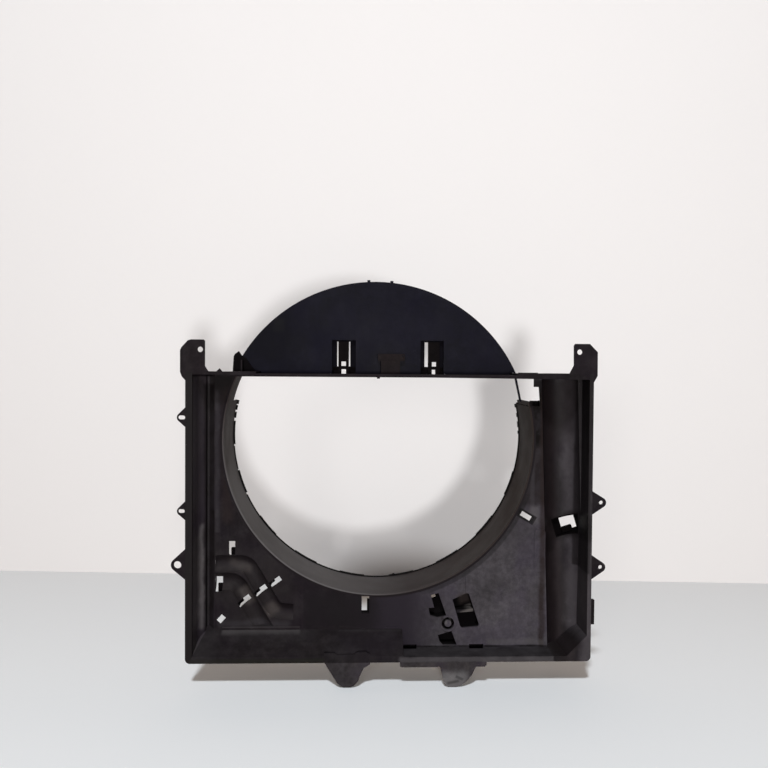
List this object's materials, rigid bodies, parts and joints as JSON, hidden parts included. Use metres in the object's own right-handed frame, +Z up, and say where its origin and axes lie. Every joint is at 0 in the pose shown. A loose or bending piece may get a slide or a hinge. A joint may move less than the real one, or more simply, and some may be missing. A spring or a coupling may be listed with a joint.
{
  "type": "radiator fan shroud",
  "caption": "Radiator fan shroud: a deep moulded cowl with a round fan ring, fixing ears, lugs and clips, and a lift-off hood over the fan circle.",
  "frame": {"origin": "midway between the two ear holes, on the radiator-side face of the rim", "axes": "+X to the right seen from the radiator, +Y from the radiator towards the engine (the fan's axis), +Z up"},
  "size_m": [0.6409, 0.143, 0.6073],
  "materials": {
    "cowl_plastic": "black glass-filled nylon, dusty and faded",
    "ring_plastic": "the same black nylon under a coat of road dust",
    "hood_plastic": "blue-black moulded plastic, fine grain"
  },
  "bodies": {
    "cowl": {"left_panel": "cowl_plastic", "groove_panel": "cowl_plastic", "low_panel": "cowl_plastic", "right_panel": "cowl_plastic", "left_wall": "cowl_plastic", "right_channel": "cowl_plastic", "bottom_wall": "cowl_plastic", "top_rail": "cowl_plastic", "fan_ring": "ring_plastic", "ring_ribs": "cowl_plastic", "left_ear": "cowl_plastic", "right_ear": "cowl_plastic", "left_upper_lug": "cowl_plastic", "left_middle_lug": "cowl_plastic", "left_lower_lug": "cowl_plastic", "right_middle_lug": "cowl_plastic", "right_lower_lug": "cowl_plastic", "left_foot": "cowl_plastic", "right_foot": "cowl_plastic", "left_latch": "cowl_plastic", "right_latch": "cowl_plastic", "centre_bracket": "cowl_plastic", "hood_guide": "cowl_plastic", "pipe_hooks": "cowl_plastic", "strap_clip": "cowl_plastic", "edge_block": "cowl_plastic"},
    "hood": {"hood_panel": "hood_plastic", "hood_rim": "hood_plastic", "hood_ribs": "hood_plastic"}
  },
  "joints": [
    {"name": "hood_slide", "type": "slide", "parent": "cowl", "child": "hood", "axis": [0, 0, 1], "range_m": [0, 0.08]}
  ]
}
